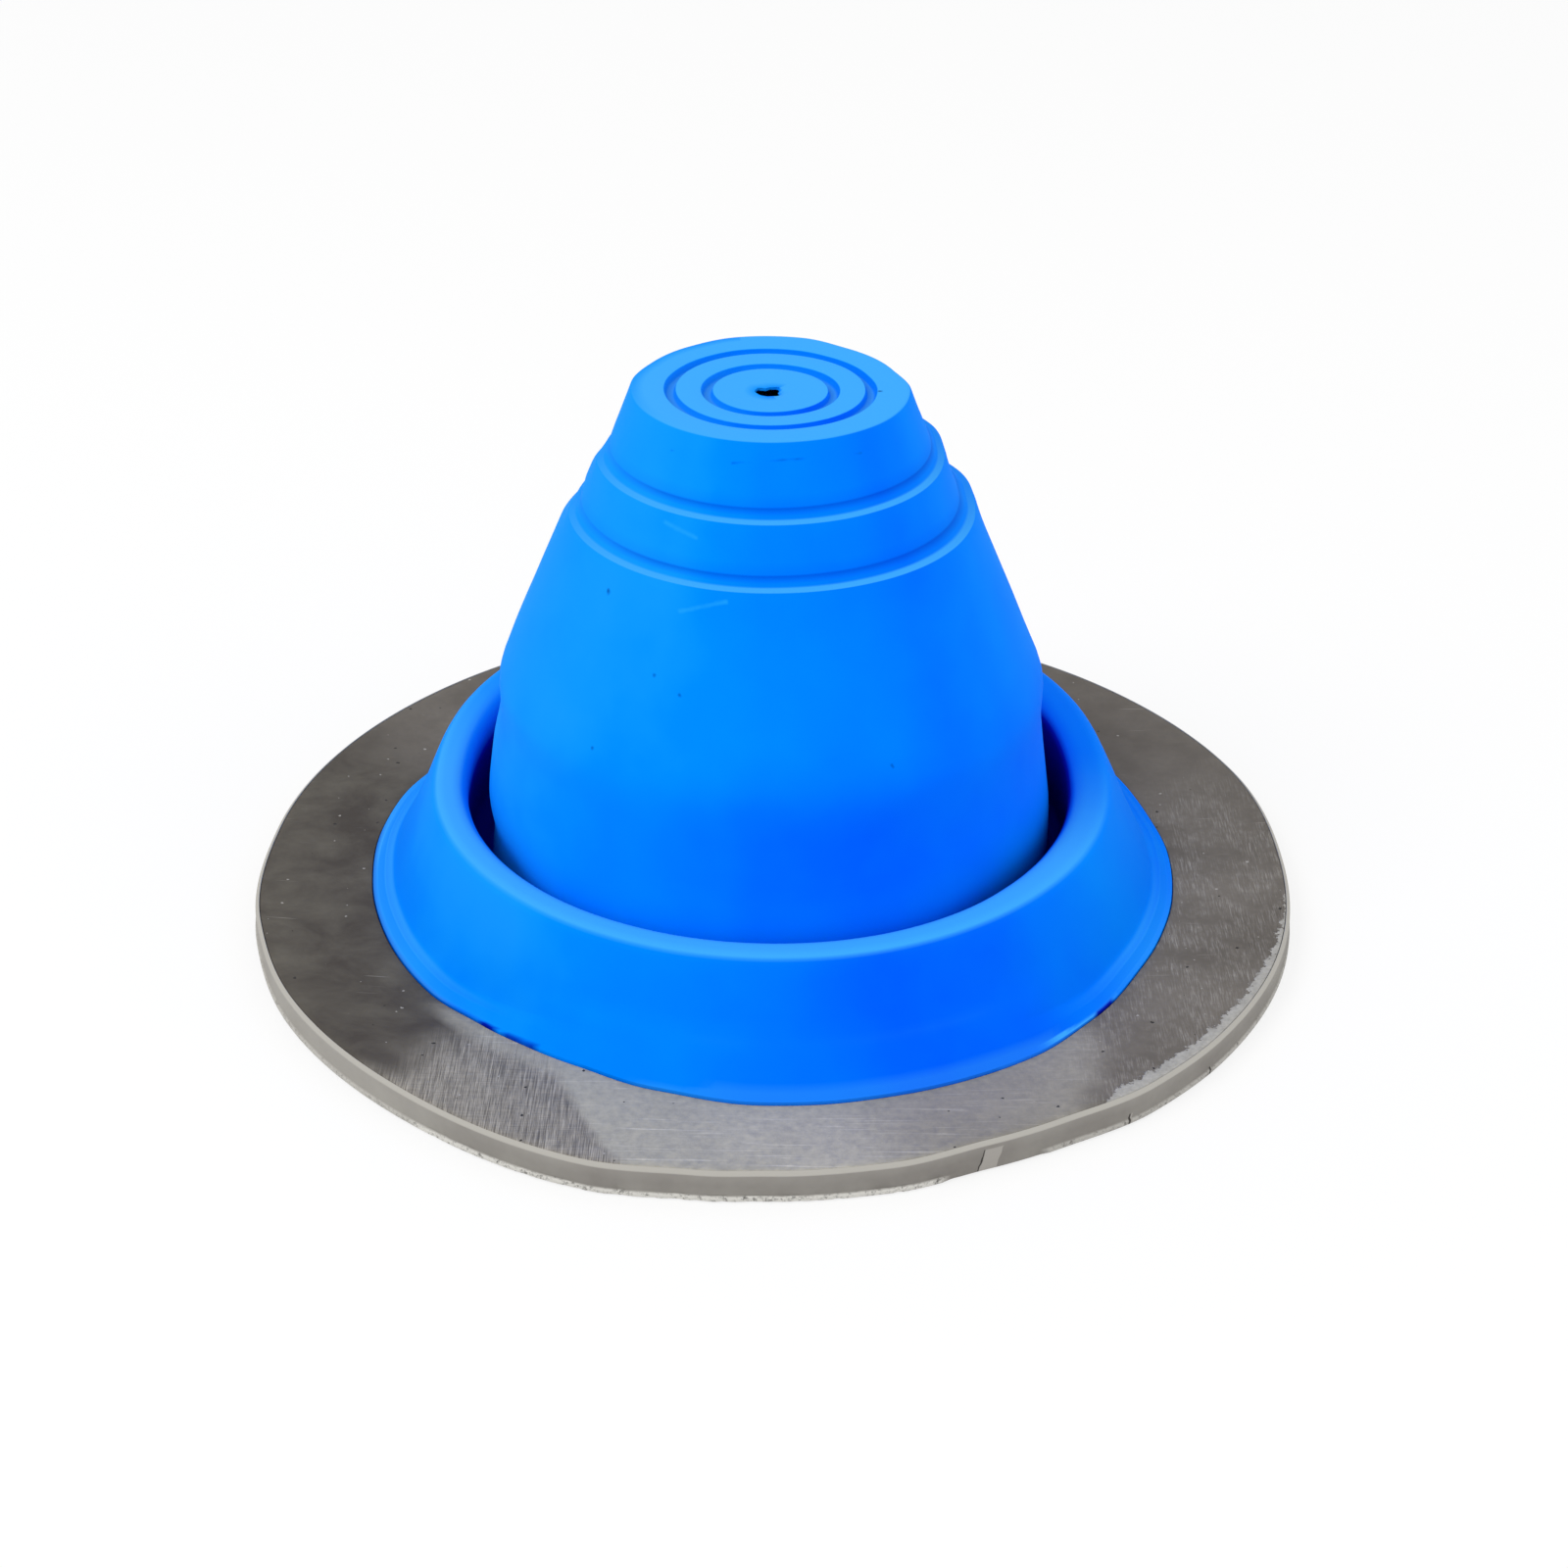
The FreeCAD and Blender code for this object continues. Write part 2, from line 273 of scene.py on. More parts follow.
def reading(stations, place):
    """Amount at a place along (place, amount) stations, eased from one station to the next."""
    if place <= stations[0][0]:
        return stations[0][1]
    for (start, before), (end, after) in zip(stations, stations[1:]):
        if place <= end:
            return before + (after - before) * smooth(place, start, end)
    return stations[-1][1]


def round_reading(stations, angle):
    """The same round the part, where the last station leads on to the first."""
    last_angle, last_amount = stations[-1]
    first_angle, first_amount = stations[0]
    before = [(last_angle - 360, last_amount)]
    after = [(first_angle + 360, first_amount)]
    return reading(before + stations + after, angle)


def trimmed(x, y, z, start, end):
    """Moves a point outwards to the trimmed edge, fully from radius end on, not below start."""
    radius = math.hypot(x, y)
    trim = round_reading(FLANGE_TRIM, bearing(x, y)) * smooth(radius, start, end)
    stretch = 1 + trim / radius
    return Vector((x * stretch, y * stretch, z))


def ring_over(radius):
    """Height of the dished ring's top face."""
    return RING_TOP - (RING_RADIUS - radius) * RING_DISH / (RING_RADIUS - RING_BORE)


def ring_under(radius):
    return ring_over(radius) - RING_THICKNESS


# Sections and turned pieces

def section(corners, spacing):
    """A closed outline of (radius, height, rounding) corners, its edges within spacing."""
    bm = bmesh.new()
    places = [Vector((radius, 0, height)) for radius, height, _ in corners]
    verts = [bm.verts.new(place) for place in places]
    for i, vert in enumerate(verts):
        bm.edges.new((verts[i - 1], vert))
    count = len(corners)
    inner_angles = [(places[i - 1] - place).angle(places[(i + 1) % count] - place)
                    for i, place in enumerate(places)]
    reaches = [corner[2] / math.tan(angle / 2) for corner, angle in zip(corners, inner_angles)]
    # Each edge is shared out between the roundings at its two ends
    shares = [(places[i - 1] - place).length / max(reaches[i - 1] + reaches[i], TINY)
              for i, place in enumerate(places)]
    for i, (_, _, rounding) in enumerate(corners):
        if rounding > 0:
            reach = reaches[i] * min(shares[i], shares[(i + 1) % count], MOST_OF_EDGE)
            facet_turn = next(turn for least, turn in FACET_TURNS if rounding > least)
            facets = round(math.degrees(math.pi - inner_angles[i]) / facet_turn)
            bmesh.ops.bevel(bm, geom=[verts[i]], offset=reach, offset_type="OFFSET",
                            affect="VERTICES", segments=max(2, facets), profile=0.5,
                            material=-1)
    for edge in list(bm.edges):
        cuts = math.ceil(edge.calc_length() / spacing) - 1
        if cuts > 0:
            bmesh.ops.subdivide_edges(bm, edges=[edge], cuts=cuts)
    return bm


def turned(corners, spacing, steps):
    """The section of these corners turned right round the pipe's axis."""
    bm = section(corners, spacing)
    bmesh.ops.spin(bm, geom=bm.verts[:] + bm.edges[:], cent=(0, 0, 0), axis=(0, 0, 1),
                   dvec=(0, 0, 0), angle=math.tau, steps=steps, use_merge=True,
                   use_duplicate=False)
    bmesh.ops.remove_doubles(bm, verts=bm.verts[:], dist=WELD)
    bmesh.ops.recalc_face_normals(bm, faces=bm.faces[:])
    return bm


def finished(bm, name, material, stands_for):
    """Makes the mesh an object in metres that takes the CAD node's place."""
    bmesh.ops.scale(bm, vec=(MM, MM, MM), verts=bm.verts[:])
    for face in bm.faces:
        face.smooth = True
    for edge in bm.edges:
        edge.smooth = edge.calc_face_angle(math.pi) < math.radians(CREASE)
    mesh = bpy.data.meshes.new(name)
    bm.to_mesh(mesh)
    bm.free()
    mesh.materials.append(material)
    piece = bpy.data.objects.new(name, mesh)
    bpy.context.scene.collection.objects.link(piece)
    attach(piece, "root")
    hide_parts(stands_for)
    return piece


# Nodes

def linear(hex_colour):
    """sRGB hex to the linear colour a node wants."""
    channels = [int(hex_colour[i:i + 2], 16) / 255 for i in (1, 3, 5)]
    return tuple(c / 12.92 if c <= 0.04045 else ((c + 0.055) / 1.055) ** 2.4
                 for c in channels) + (1,)


def node(tree, kind, inputs=None, **settings):
    """Adds a node; an input is a value or another node's output."""
    made = tree.nodes.new("ShaderNode" + kind)
    for name, value in settings.items():
        setattr(made, name, value)
    for socket, value in (inputs or {}).items():
        if isinstance(value, bpy.types.NodeSocket):
            tree.links.new(value, made.inputs[socket])
        else:
            made.inputs[socket].default_value = value
    return made


def layer(tree, name):
    """The mesh's vertex layer of that name."""
    return node(tree, "Attribute", attribute_name=name).outputs["Fac"]


def maths(tree, operation, *values, clamp=False):
    inputs = dict(enumerate(values))
    return node(tree, "Math", inputs, operation=operation, use_clamp=clamp).outputs[0]


def vector_maths(tree, operation, first, second):
    socket = "Scale" if operation == "SCALE" else 1
    made = node(tree, "VectorMath", {0: first, socket: second}, operation=operation)
    return made.outputs["Value" if operation in ("DISTANCE", "DOT_PRODUCT") else "Vector"]


def object_millimetres(tree):
    return vector_maths(tree, "SCALE", node(tree, "TexCoord").outputs["Object"], 1 / MM)


def spread(tree, value, from_min=0.0, from_max=1.0, to_min=0.0, to_max=1.0):
    """The value carried from one range to the other, and kept inside it."""
    inputs = {"Value": value, "From Min": from_min, "From Max": from_max, "To Min": to_min,
              "To Max": to_max}
    return node(tree, "MapRange", inputs).outputs[0]


def mix(tree, share, first, second):
    """Colour between two, each of them a hex colour or another node's output."""
    first, second = (linear(c) if isinstance(c, str) else c for c in (first, second))
    return node(tree, "Mix", {0: share, 6: first, 7: second}, data_type="RGBA").outputs[2]


def cloud(tree, place, size, detail, roughness=0.5, distortion=0.0):
    """Noise with lumps of about that size, in the unit of place."""
    inputs = {"Vector": place, "Scale": 1 / size, "Detail": detail, "Roughness": roughness,
              "Distortion": distortion}
    return node(tree, "TexNoise", inputs).outputs["Fac"]


def streaks(tree, place, degrees, scale, detail, roughness=0.5, distortion=0.0):
    """Noise drawn out one way: place is turned, then scaled in X and Y."""
    inputs = {"Vector": place, "Rotation": (0, 0, math.radians(degrees)), "Scale": (*scale, 1)}
    drawn = node(tree, "Mapping", inputs).outputs[0]
    return cloud(tree, drawn, 1, detail, roughness, distortion)


def bump(tree, height, distance, strength, under=None):
    """Normal of a relief that many millimetres high, laid over the one under it."""
    inputs = {"Height": height, "Distance": distance * MM, "Strength": strength}
    if under is not None:
        inputs["Normal"] = under
    return node(tree, "Bump", inputs).outputs["Normal"]


def stroke(tree, place, start, end, half_width):
    """Mask of a short mark between two points given in millimetres, ragged at its edge."""
    start = Vector(start) * MM
    along = Vector(end) * MM - start
    from_start = vector_maths(tree, "SUBTRACT", place, start)
    travel = vector_maths(tree, "DOT_PRODUCT", from_start, along / along.length_squared)
    share = maths(tree, "MULTIPLY", travel, 1.0, clamp=True)
    nearest = vector_maths(tree, "SCALE", along, share)
    away = vector_maths(tree, "DISTANCE", from_start, nearest)
    frayed = cloud(tree, place, 0.8 * MM, 1.0)
    edge = spread(tree, frayed, to_min=0.6 * half_width * MM, to_max=1.6 * half_width * MM)
    return spread(tree, away, from_min=edge, from_max=0.0, to_max=0.9)


def chips(tree, place, spacing, size, left_out):
    """Mask of irregular specks, about one in each spacing but for the share left out."""
    jitter = node(tree, "TexNoise", {"Vector": place, "Scale": 1.2 / size, "Detail": 2.0})
    bent = vector_maths(tree, "MULTIPLY", jitter.outputs["Color"], (size, size, 0))
    moved = vector_maths(tree, "ADD", place, bent)
    cells = node(tree, "TexVoronoi", {"Vector": moved, "Scale": 1 / spacing},
                 voronoi_dimensions="2D")
    chance = node(tree, "SeparateColor", {"Color": cells.outputs["Color"]}).outputs["Red"]
    wide = spread(tree, chance, left_out, to_max=0.5 * size / spacing)
    inside = maths(tree, "SUBTRACT", wide, cells.outputs["Distance"])
    return spread(tree, inside, from_max=0.12 * size / spacing)


# Materials

def new_material(name, roughness, specular, ior=1.5, metallic=0.0):
    material = bpy.data.materials.new(name)
    material.use_nodes = True
    tree = material.node_tree
    shader = tree.nodes["Principled BSDF"]
    shader.inputs["Roughness"].default_value = roughness
    shader.inputs["Metallic"].default_value = metallic
    shader.inputs["Specular IOR Level"].default_value = specular
    shader.inputs["IOR"].default_value = ior
    return material, tree, shader


def blue_silicone():
    """Moulded silicone rubber, pigmented blue: matt and even, with painted light and shade, paler
    where lit and deeper where shaded, a painted highlight where it faces up, painted shade in
    folds."""
    material, tree, shader = new_material("moulded_blue_silicone", 0.75, 0.06, ior=1.41)
    shader.inputs["Specular Tint"].default_value = linear(SILICONE_SHEEN)
    place = node(tree, "TexCoord").outputs["Object"]
    painted_highlight = layer(tree, "painted_highlight")
    depth = layer(tree, "painted_shading_depth")
    painted_shade = layer(tree, "painted_fold_shade")
    clouds = cloud(tree, place, 24 * MM, 3.0, 0.55)
    cloudy = spread(tree, clouds, 0.3, 0.7, -0.09, 0.09)
    # Painted light and shade: pale on the lit left, deep on the shaded right front, with random
    # cloudy tone
    tone = maths(tree, "ADD", depth, cloudy, clamp=True)
    body = mix(tree, tone, SILICONE_PAINTED_LIT, SILICONE_PAINTED_SHADED)
    # Painted light: the palest lit parts go paler still
    painted_lit_share = spread(tree, tone, 0.28, 0.06)
    painted_lit_body = mix(tree, painted_lit_share, body, SILICONE_PAINTED_BRIGHTEST)
    # Painted highlight on faces that look up
    highlighted = mix(tree, painted_highlight, painted_lit_body, SILICONE_HIGHLIGHT)
    # Painted shade in the folds, creases and grooves, darkest deep in the moat
    shaded = spread(tree, painted_shade, from_max=0.6)
    deeper = mix(tree, shaded, highlighted, FOLD_SHADE_BLUE)
    deepest_shade = spread(tree, painted_shade, from_min=0.5)
    colour = mix(tree, deepest_shade, deeper, FOLD_SHADE_DARK)

    marks = [(*hairline, HAIRLINE_BLUE) for hairline in HAIRLINES]
    marks += [(*scuff, SCUFF_BLUE) for scuff in SCUFFS]
    marks += [(middle, Vector(middle) + SPECK_LENGTH, half_width, SPECK_BLUE)
              for middle, half_width in SPECKS]
    for start, end, half_width, shade in marks:
        colour = mix(tree, stroke(tree, place, start, end, half_width), colour, shade)
    tree.links.new(colour, shader.inputs["Base Color"])

    grain = cloud(tree, place, 0.5 * MM, 2.0)
    swell = cloud(tree, place, 9 * MM, 2.0)
    fine = bump(tree, grain, 0.01, 0.35)
    tree.links.new(bump(tree, swell, 0.12, 0.5, under=fine), shader.inputs["Normal"])
    return material


def soft_aluminium():
    """Soft aluminium sheet, dulled by handling: a pale painted reflection at the front, brush
    marks beside it, brown-grey stains elsewhere, with pits, chips and hairline scratches."""
    material, tree, shader = new_material("stained_soft_aluminium", 0.55, 0.3, metallic=0.2)
    place = object_millimetres(tree)
    names = ("painted_reflection", "brushed", "scoured", "tarnish", "spill")
    painted_reflection, brushed, scoured, tarnish, spill = [layer(tree, name) for name in names]

    # Stains in clouds about 25 mm across, with a fine mottle of 1.5 mm
    clouds = cloud(tree, place, 25, 4.0, 0.6)
    stain = spread(tree, clouds, 0.3, 0.7)
    clean = mix(tree, stain, STAIN_DARK, STAIN_LIGHT)
    # Tarnish is wiped about: dark olive-brown patches with paler ones between them
    wipes = streaks(tree, place, -28, (0.06, 0.1), 6.0, 0.6, 0.3)
    wipe = spread(tree, wipes, 0.36, 0.7)
    dulled = mix(tree, wipe, TARNISH_DARK, TARNISH_LIGHT)
    body = mix(tree, tarnish, clean, dulled)
    mottle = cloud(tree, place, 1.5, 4.0, 0.7)
    speckled = spread(tree, mottle, 0.3, 0.7, 0.86, 1.14)

    # Fine brush marks drawn across the sheet, with fainter ones square to them
    hairs = streaks(tree, place, 6, (6, 0.14), 3.0, 0.6)
    cross_hairs = streaks(tree, place, 4, (0.2, 5), 2.0)
    both = maths(tree, "MULTIPLY_ADD", cross_hairs, 0.2, hairs)
    hairy = spread(tree, both, 0.46, 0.78)
    brush = mix(tree, hairy, BRUSH_DARK, BRUSH_LIGHT)
    scrub = mix(tree, brushed, body, brush)

    # Scoured right side: short light strokes in patches
    strokes = streaks(tree, place, 24, (4, 0.25), 3.0, 0.65)
    light_stroke = spread(tree, strokes, 0.46, 0.76, to_max=0.8)
    patches = cloud(tree, place, 6, 3.0, 0.6)
    patchy = spread(tree, patches, 0.38, 0.6, to_max=light_stroke)
    scour = maths(tree, "MULTIPLY", patchy, scoured)
    scuffed = mix(tree, scour, scrub, SCOUR_PALE)

    # Painted reflection: a pale stretch at the front, with a few long faint scratches
    light = mix(tree, stain, REFLECTION_DARK, REFLECTION_LIGHT)
    wisps = streaks(tree, place, -6, (0.06, 2.2), 3.0, distortion=0.4)
    wisp = spread(tree, wisps, 0.6, 0.72, to_max=0.6)
    wispy = mix(tree, wisp, light, WISP_PALE)
    sheet = mix(tree, painted_reflection, scuffed, wispy)
    toned = vector_maths(tree, "SCALE", sheet, speckled)

    # Long thin scratches, cut across the brush marks
    cuts = streaks(tree, place, -70, (0.05, 2.4), 1.0, distortion=0.2)
    cut = spread(tree, cuts, 0.75, 0.8, to_max=0.4)
    scratched = mix(tree, cut, toned, CUT_PALE)

    # Pale chips and dark pits
    chip = chips(tree, place, 6.5, 0.6, 0.5)
    chipped = mix(tree, chip, scratched, CHIP_PALE)
    pit = chips(tree, vector_maths(tree, "ADD", place, (31, 17, 0)), 9, 0.8, 0.4)
    pitted = mix(tree, pit, chipped, PIT_DARK)

    # Rubber squeezed over the edge, with a torn margin
    margin = cloud(tree, place, 2.2, 5.0, 0.75)
    reach = spread(tree, margin, 0.3, 0.7, -1.1, 1.1)
    over = maths(tree, "ADD", spill, reach)
    rubbery = spread(tree, over, from_max=0.25)
    lump = cloud(tree, place, 1.2, 3.0, 0.7)
    rubber = mix(tree, lump, SPILL_DARK, SPILL_LIGHT)
    covered = mix(tree, rubbery, pitted, rubber)
    tree.links.new(covered, shader.inputs["Base Color"])

    marks = maths(tree, "ADD", both, mottle)
    thick = maths(tree, "MULTIPLY_ADD", rubbery, 12.0, marks)
    relief = maths(tree, "MULTIPLY_ADD", lump, rubbery, thick)
    tree.links.new(bump(tree, relief, 0.02, 0.5), shader.inputs["Normal"])
    gloss = spread(tree, mottle, 0.3, 0.7, 0.45, 0.65)
    tree.links.new(gloss, shader.inputs["Roughness"])
    return material


def grey_rubber():
    """Moulded grey rubber, with a painted highlight on its bevel and painted light on its left
    side, paler on the torn flash along its foot, and split in a few places."""
    material, tree, shader = new_material("moulded_grey_rubber", 0.75, 0.25)
    place = object_millimetres(tree)
    apart = node(tree, "SeparateXYZ", {"Vector": place})
    painted_light = layer(tree, "painted_light")
    flash = layer(tree, "flash")
    clouds = cloud(tree, place, 12, 4.0, 0.6)
    cloudy = spread(tree, clouds, 0.3, 0.7)
    body = mix(tree, cloudy, RUBBER_DARK, RUBBER_LIGHT)
    lightened = mix(tree, painted_light, body, RUBBER_PAINTED_LIGHT)

    # The flash is torn and gritty
    grit = cloud(tree, place, 0.9, 4.0, 0.8)
    gritty = spread(tree, grit, 0.3, 0.5)
    crumbs = mix(tree, gritty, CRUMB_DARK, CRUMB_LIGHT)
    colour = mix(tree, flash, lightened, crumbs)

    # Splits run up from the foot, dark with a pale lip
    around = maths(tree, "ARCTAN2", apart.outputs["Y"], apart.outputs["X"])
    waver = cloud(tree, place, 1.5, 2.0)
    wavering = spread(tree, waver, to_min=-0.4, to_max=0.4)
    height_here = apart.outputs["Z"]
    for angle, height, half_width, patch_width in CRACKS:
        turn_away = maths(tree, "SUBTRACT", around, math.radians(angle))
        aside = maths(tree, "MULTIPLY_ADD", turn_away, SEAL_RADIUS, wavering)
        slanted = maths(tree, "MULTIPLY_ADD", height_here, -0.3, aside)
        distance = maths(tree, "ABSOLUTE", slanted)
        low = spread(tree, height_here, height + 0.3, height)
        peeled = spread(tree, slanted, patch_width + 0.15, patch_width, to_max=low)
        on_right = spread(tree, slanted, 0.0, 0.1, to_max=peeled)
        split = spread(tree, distance, 1.6 * half_width, 0.6 * half_width, to_max=low)
        patched = mix(tree, on_right, colour, PEELED_GREY)
        colour = mix(tree, split, patched, SPLIT_DARK)
    tree.links.new(colour, shader.inputs["Base Color"])
    tree.links.new(bump(tree, grit, 0.05, 0.4), shader.inputs["Normal"])
    return material


# Boot

def tier_feet():
    """Radius and height of the crease at the foot of each tier."""
    feet = []
    radius = CAP_RADIUS
    height = BOOT_TOP
    for tier_height, draft in TIERS:
        radius += tier_height * tangent(draft)
        height -= tier_height
        feet.append((radius, height))
        radius += LEDGE_WIDTH
        height -= LEDGE_FALL
    return feet


def groove_corners(radius):
    inner = radius - GROOVE_WIDTH / 2
    outer = radius + GROOVE_WIDTH / 2
    floor_height = BOOT_TOP - GROOVE_DEPTH
    return [(inner, BOOT_TOP, 0.15), (inner, floor_height, 0.9), (outer, floor_height, 0.9),
            (outer, BOOT_TOP, 0.15)]


def boot_outer_corners():
    """Outer skin from the tear in the cap down to the end of the trapped flange."""
    path = [(TEAR_ROOM, BOOT_TOP, 0)]
    for groove_radius in GROOVE_RADII:
        path += groove_corners(groove_radius)
    path.append((CAP_RADIUS, BOOT_TOP, 0.7))
    for foot_radius, foot_height in tier_feet():
        radius = foot_radius + LEDGE_WIDTH
        height = foot_height - LEDGE_FALL
        path += [
            (foot_radius - RISER_REACH, foot_height + RISER_HEIGHT, 0),
            (foot_radius, foot_height, 0.12),
            (foot_radius + COVE_REACH, foot_height - COVE_FALL, 1.3),
            (radius, height, 0.35),
        ]
    steps = [
        ((height - SHOULDER_HEIGHT) * tangent(CONE_DRAFT), SHOULDER_HEIGHT, 12),
        ((SHOULDER_HEIGHT - BARREL_FOOT) * tangent(BARREL_DRAFT), BARREL_FOOT, 20),
        (0, MOAT_FLOOR, MOAT_WIDTH / 2),
        (MOAT_WIDTH, MOAT_FLOOR, MOAT_WIDTH / 2),
        (0, RIM_HEIGHT, 3),
        (RIM_WIDTH, RIM_HEIGHT, 3),
        (WAIST_REACH, RIM_HEIGHT - WAIST_DROP, 25),
        (FOOT_REACH, BEAD_TOP, 2),
        (BEAD_WIDTH, BEAD_TOP, 0.7),
        (BEAD_SLOPE, LAND_HEIGHT, 0.4),
        (LAND_WIDTH, LAND_HEIGHT, 0.1),
    ]
    for reach, height, rounding in steps:
        radius += reach
        path.append((radius, height, rounding))
    path.append((radius, ring_under(radius), 0))
    path.append((FLANGE_RADIUS, ring_under(FLANGE_RADIUS), 0))
    return path


def inner_skin(corners):
    """The corners moved inwards by the wall's thickness, each between its two neighbours."""
    moved = []
    for before, here, after in zip(corners, corners[1:], corners[2:]):
        along = Vector((here[0] - before[0], here[1] - before[1])).normalized()
        onward = Vector((after[0] - here[0], after[1] - here[1])).normalized()
        mitre = Vector((along.y + onward.y, -along.x - onward.x))
        mitre *= 2 * WALL / mitre.length_squared
        turns_right = along.y * onward.x - along.x * onward.y > 0
        rounding = max(here[2] + (-WALL if turns_right else WALL), LEAST_ROUNDING)
        moved.append((here[0] + mitre.x, here[1] + mitre.y, rounding))
    return moved


def boot_corners():
    outer = boot_outer_corners()
    plain = [corner for corner in outer if corner[0] >= CAP_RADIUS]
    bead = next(i for i, corner in enumerate(plain) if corner[1] == BEAD_TOP)
    inner = inner_skin([(0, BOOT_TOP, 0)] + plain[:bead + 1])
    mouth_height = ring_under(SEAL_BORE) - FLANGE_THICKNESS
    upper = inner[-1]
    slope = FOOT_REACH / (RIM_HEIGHT - WAIST_DROP - BEAD_TOP)
    mouth = (upper[0] + (upper[1] - mouth_height) * slope, mouth_height, 0)
    flange_end = (FLANGE_RADIUS, ring_under(FLANGE_RADIUS) - FLANGE_THICKNESS, 0)
    return outer + [flange_end, mouth] + inner[::-1] + [(TEAR_ROOM, CAP_UNDERSIDE, 0)]


def tear_radius(angle, depth):
    """Distance from the tear's middle to its ragged edge, at a depth of 0 to 1 in the cap."""
    polar = sorted((bearing(x, y), math.hypot(x, y)) for x, y in TEAR_CORNERS)
    polar.append((polar[0][0] + 360, polar[0][1]))
    if angle < polar[0][0]:
        angle += 360
    for (start, near), (end, far) in zip(polar, polar[1:]):
        if start <= angle <= end:
            radius = near + (far - near) * (angle - start) / (end - start)
            break
    turn_in = TEAR_TURN_IN * near_bearing(angle, -10, 35, 40) * depth
    x, y = outwards(0, 0, angle, 1)
    return radius - turn_in + TEAR_RAGGEDNESS * ragged(x, y, depth, 0.25)


def torn(x, y, z, radius, angle):
    """A point of the cap pulled to the tear and thinned towards it, with its new radius."""
    depth = (BOOT_TOP - z) / WALL
    edge = tear_radius(angle, depth)
    share = (radius - TEAR_ROOM) / (TEAR_REACH - TEAR_ROOM)
    pulled = edge + share * (TEAR_REACH - edge)
    thin = 1 - smooth(radius, TEAR_ROOM, TEAR_REACH)
    z += thin * depth * (WALL - TEAR_LIP)
    return x * pulled / radius, y * pulled / radius, z, pulled


def foot_lift(radius, angle, z):
    """How far the flared foot is lifted to the straight line it keeps at the front."""
    start_radius, start_height = STRAIGHT_START
    lowest, highest = LIFTED_HEIGHTS
    if radius <= LIFTED_RADIUS or not lowest < z < highest:
        return 0
    fall = (radius - start_radius) * (start_height - LAND_HEIGHT) / (RING_BORE - start_radius)
    straight = max(start_height - fall, STRAIGHT_LOWEST)
    in_front = near_bearing(angle, *STRAIGHT_FRONT)
    return (straight - z) * in_front * smooth(radius, *STRAIGHT_RADII)


def boot_shift(x, y, z):
    """Where a point of the plain turned boot goes on this soft, handled one."""
    radius = math.hypot(x, y)
    angle = bearing(x, y)
    if radius < TEAR_REACH and z > CAP_UNDERSIDE - CAP_MARGIN:
        x, y, z, radius = torn(x, y, z, radius, angle)
    if radius < CAP_RADIUS and z > CAP_UNDERSIDE - SAG_MARGIN:
        z -= CAP_SAG * (1 - radius / CAP_RADIUS)
    z += foot_lift(radius, angle, z)

    on_cone = 1 - smooth(radius, *CONE_TO_MOAT)
    inside_foot = 1 - smooth(radius, *RIM_TO_FOOT)
    rightness = math.cos(math.radians(angle))
    right_fullness = reading(RIGHT_FULLNESS, z) * smooth(rightness, 0, 1)
    left_fullness = reading(LEFT_FULLNESS, z) * smooth(-rightness, 0, 1)
    x += on_cone * (right_fullness - left_fullness)
    cone_lean = CONE_LEAN + TOP_LEAN * smooth(z, *TOP_LEAN_HEIGHTS)
    x += cone_lean * on_cone + RIM_LEAN * (inside_foot - on_cone)
    for centre, half_width, height, reach, amount in SWELLINGS:
        swelling = on_cone * smooth(radius, *CAP_TO_TIER)
        swelling *= near_bearing(angle, centre, half_width, SWELLING_FADE)
        swelling *= amount * (1 - smooth(abs(z - height), 0.3 * reach, reach))
        x, y = outwards(x, y, angle, swelling)

    past_moat = smooth(radius, *MOAT_TO_RIM)
    rise = RIM_RISE * math.tanh(max(y, 0) / RIM_RISE_EASE)
    rise *= past_moat * smooth(z, *RIM_HEIGHTS)
    y += RIM_BACK * rise
    z += rise
    on_right = smooth(rightness, 0.3, 0.95)
    x -= MOAT_PINCH * on_right * past_moat * (1 - smooth(radius, *RIM_TO_WAIST))

    foot_run = round_reading(FOOT_RUN, angle) * smooth(radius, *SKIRT_TO_FOOT)
    x, y = outwards(x, y, angle, foot_run * (1 - smooth(radius, *BORE_TO_RING)))
    lump_height, lump_size = SURFACE_LUMPS
    lump = lump_height * ragged(x, y, z, lump_size) * (1 - smooth(radius, *FOOT_TO_BEAD))
    x, y = outwards(x, y, angle, lump)
    under_from, under_fully = UNDER_RING
    if radius > under_from and z > ring_under(radius) - FLANGE_THICKNESS / 2:
        z -= CLEAR_OF_RING * smooth(radius, under_from, under_fully)
    return Vector((x, y, z))


def painted_shading(radius, angle, z):
    """Painted light and shade in the blue, 0 pale where lit to 1 deep where shaded."""
    on_skirt = smooth(radius, 54, 58)
    high = smooth(z, 38, 56) * (1 - on_skirt)
    left_foot = 0.2 * smooth(radius, 65, 71) * near_bearing(angle, -165, 25, 20)
    barrel_light = 0.65 + 0.35 * smooth(z, 20, 32)
    blue = round_reading(BARREL_PAINTED_SHADING, angle) * barrel_light * (1 - on_skirt - high)
    blue += left_foot
    blue += round_reading(SKIRT_PAINTED_SHADING, angle) * on_skirt
    return blue + round_reading(UPPER_PAINTED_SHADING, angle) * high


